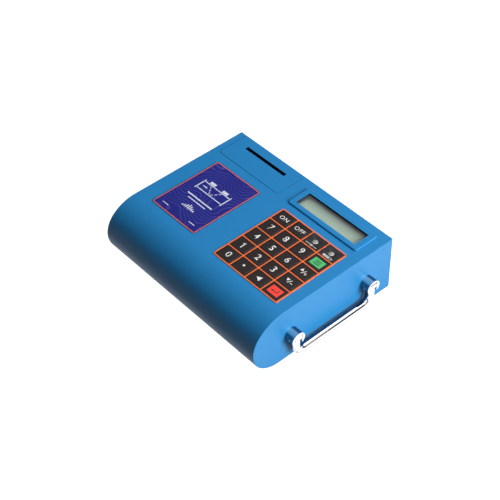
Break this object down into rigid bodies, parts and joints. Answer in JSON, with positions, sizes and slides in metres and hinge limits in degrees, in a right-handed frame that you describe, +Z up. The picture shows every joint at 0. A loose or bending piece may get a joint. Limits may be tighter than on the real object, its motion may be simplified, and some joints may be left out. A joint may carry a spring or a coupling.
{
  "type": "portable ultrasonic flow meter",
  "caption": "Portable ultrasonic flow meter: a low case with a rounded nose, display, membrane keypad, panel printer with a hinged cover, and a folding rod handle on one end.",
  "frame": {"origin": "middle of the whole object's footprint, at the level that the feet stand on", "axes": "+X towards the handle end, +Y towards the back, away from the rounded nose, +Z up"},
  "size_m": [0.2462, 0.1892, 0.0724],
  "materials": {
    "case_paint": "satin paint",
    "cover_metal": "satin",
    "fastener": "satin",
    "foot_rubber": "matte",
    "clear_window": "gloss",
    "display": "satin",
    "black_metal": "satin",
    "circuit_board": "satin",
    "plated_metal": "satin",
    "keypad_film": "satin",
    "black_film": "satin",
    "key_black": "satin",
    "key_green": "satin",
    "key_red": "satin",
    "light_lens": "gloss",
    "label_film": "satin",
    "printer_plastic": "matte",
    "roller_rubber": "matte",
    "gear_plastic": "satin",
    "gear_brass": "satin",
    "paper": "matte",
    "component_plastic": "matte",
    "battery_wrap": "satin",
    "socket_metal": "satin",
    "socket_plastic": "satin",
    "chrome_plate": "mirror"
  },
  "bodies": {
    "case": {"upper_housing": "case_paint", "bottom_cover": "cover_metal", "bottom_screws": "fastener", "rubber_feet": "foot_rubber", "display_bezel": "case_paint", "display_window": "clear_window", "display_panel": "display", "display_frame": "black_metal", "display_board": "circuit_board", "display_spacers": "plated_metal", "keypad_overlay": "keypad_film", "switch_film": "black_film", "key_domes": "plated_metal", "charge_light": "light_lens", "battery_light": "light_lens", "name_label": "label_film", "cover_hinge_pin": "fastener", "printer_chassis": "printer_plastic", "thermal_head": "cover_metal", "printer_motor": "plated_metal", "roll_spindle": "printer_plastic", "main_board": "circuit_board", "board_components": "component_plastic", "board_standoffs": "plated_metal", "battery_pack": "battery_wrap", "battery_bracket": "cover_metal", "upstream_socket": "socket_metal", "downstream_socket": "socket_metal", "charger_jack": "socket_plastic", "serial_port": "socket_metal", "post_front": "chrome_plate", "post_rear": "chrome_plate", "post_nuts": "fastener", "handle_pins": "fastener"},
    "handle": {"handle": "chrome_plate"},
    "printer_cover": {"printer_cover": "case_paint"},
    "platen": {"platen_shaft": "fastener", "platen_roller": "roller_rubber", "platen_gear": "gear_plastic"},
    "motor_gear": {"motor_gear": "gear_brass"},
    "paper_roll": {"paper_roll": "paper"},
    "key_on": {"key_on": "key_black"},
    "key_off": {"key_off": "key_black"},
    "key_7": {"key_7": "key_black"},
    "key_8": {"key_8": "key_black"},
    "key_9": {"key_9": "key_black"},
    "key_menu": {"key_menu": "key_green"},
    "key_4": {"key_4": "key_black"},
    "key_5": {"key_5": "key_black"},
    "key_6": {"key_6": "key_black"},
    "key_up": {"key_up": "key_black"},
    "key_1": {"key_1": "key_black"},
    "key_2": {"key_2": "key_black"},
    "key_3": {"key_3": "key_black"},
    "key_down": {"key_down": "key_black"},
    "key_0": {"key_0": "key_black"},
    "key_point": {"key_point": "key_black"},
    "key_back": {"key_back": "key_black"},
    "key_enter": {"key_enter": "key_red"}
  },
  "joints": [
    {"name": "handle_swing", "type": "hinge", "parent": "case", "child": "handle", "pos_m": [0.1184, 0.00607, 0.0344], "axis": [0, -1, 0], "range_deg": [0, 90]},
    {"name": "cover_swing", "type": "hinge", "parent": "case", "child": "printer_cover", "pos_m": [-0.06329, 0.09118, 0.037], "axis": [-1, 0, 0], "range_deg": [0, 88]},
    {"name": "platen_turn", "type": "hinge", "parent": "case", "child": "platen", "pos_m": [-0.0631, 0.07493, 0.055], "axis": [1, 0, 0], "continuous": true},
    {"name": "motor_turn", "type": "hinge", "parent": "case", "child": "motor_gear", "pos_m": [-0.0251, 0.07971, 0.04184], "axis": [1, 0, 0], "continuous": true},
    {"name": "roll_turn", "type": "hinge", "parent": "case", "child": "paper_roll", "pos_m": [-0.0631, 0.05693, 0.03698], "axis": [1, 0, 0], "continuous": true},
    {"name": "key_on_press", "type": "slide", "parent": "case", "child": "key_on", "axis": [0, 0, -1], "range_m": [0, 0.0004], "stiffness_N_per_m": 1000},
    {"name": "key_off_press", "type": "slide", "parent": "case", "child": "key_off", "axis": [0, 0, -1], "range_m": [0, 0.0004], "stiffness_N_per_m": 1000},
    {"name": "key_7_press", "type": "slide", "parent": "case", "child": "key_7", "axis": [0, 0, -1], "range_m": [0, 0.0004], "stiffness_N_per_m": 1000},
    {"name": "key_8_press", "type": "slide", "parent": "case", "child": "key_8", "axis": [0, 0, -1], "range_m": [0, 0.0004], "stiffness_N_per_m": 1000},
    {"name": "key_9_press", "type": "slide", "parent": "case", "child": "key_9", "axis": [0, 0, -1], "range_m": [0, 0.0004], "stiffness_N_per_m": 1000},
    {"name": "key_menu_press", "type": "slide", "parent": "case", "child": "key_menu", "axis": [0, 0, -1], "range_m": [0, 0.0004], "stiffness_N_per_m": 1000},
    {"name": "key_4_press", "type": "slide", "parent": "case", "child": "key_4", "axis": [0, 0, -1], "range_m": [0, 0.0004], "stiffness_N_per_m": 1000},
    {"name": "key_5_press", "type": "slide", "parent": "case", "child": "key_5", "axis": [0, 0, -1], "range_m": [0, 0.0004], "stiffness_N_per_m": 1000},
    {"name": "key_6_press", "type": "slide", "parent": "case", "child": "key_6", "axis": [0, 0, -1], "range_m": [0, 0.0004], "stiffness_N_per_m": 1000},
    {"name": "key_up_press", "type": "slide", "parent": "case", "child": "key_up", "axis": [0, 0, -1], "range_m": [0, 0.0004], "stiffness_N_per_m": 1000},
    {"name": "key_1_press", "type": "slide", "parent": "case", "child": "key_1", "axis": [0, 0, -1], "range_m": [0, 0.0004], "stiffness_N_per_m": 1000},
    {"name": "key_2_press", "type": "slide", "parent": "case", "child": "key_2", "axis": [0, 0, -1], "range_m": [0, 0.0004], "stiffness_N_per_m": 1000},
    {"name": "key_3_press", "type": "slide", "parent": "case", "child": "key_3", "axis": [0, 0, -1], "range_m": [0, 0.0004], "stiffness_N_per_m": 1000},
    {"name": "key_down_press", "type": "slide", "parent": "case", "child": "key_down", "axis": [0, 0, -1], "range_m": [0, 0.0004], "stiffness_N_per_m": 1000},
    {"name": "key_0_press", "type": "slide", "parent": "case", "child": "key_0", "axis": [0, 0, -1], "range_m": [0, 0.0004], "stiffness_N_per_m": 1000},
    {"name": "key_point_press", "type": "slide", "parent": "case", "child": "key_point", "axis": [0, 0, -1], "range_m": [0, 0.0004], "stiffness_N_per_m": 1000},
    {"name": "key_back_press", "type": "slide", "parent": "case", "child": "key_back", "axis": [0, 0, -1], "range_m": [0, 0.0004], "stiffness_N_per_m": 1000},
    {"name": "key_enter_press", "type": "slide", "parent": "case", "child": "key_enter", "axis": [0, 0, -1], "range_m": [0, 0.0004], "stiffness_N_per_m": 1000}
  ],
  "couplings": [
    {"joint": "motor_turn", "follows": "platen_turn", "ratio": -1.8571},
    {"joint": "roll_turn", "follows": "platen_turn", "ratio": -0.33333}
  ]
}
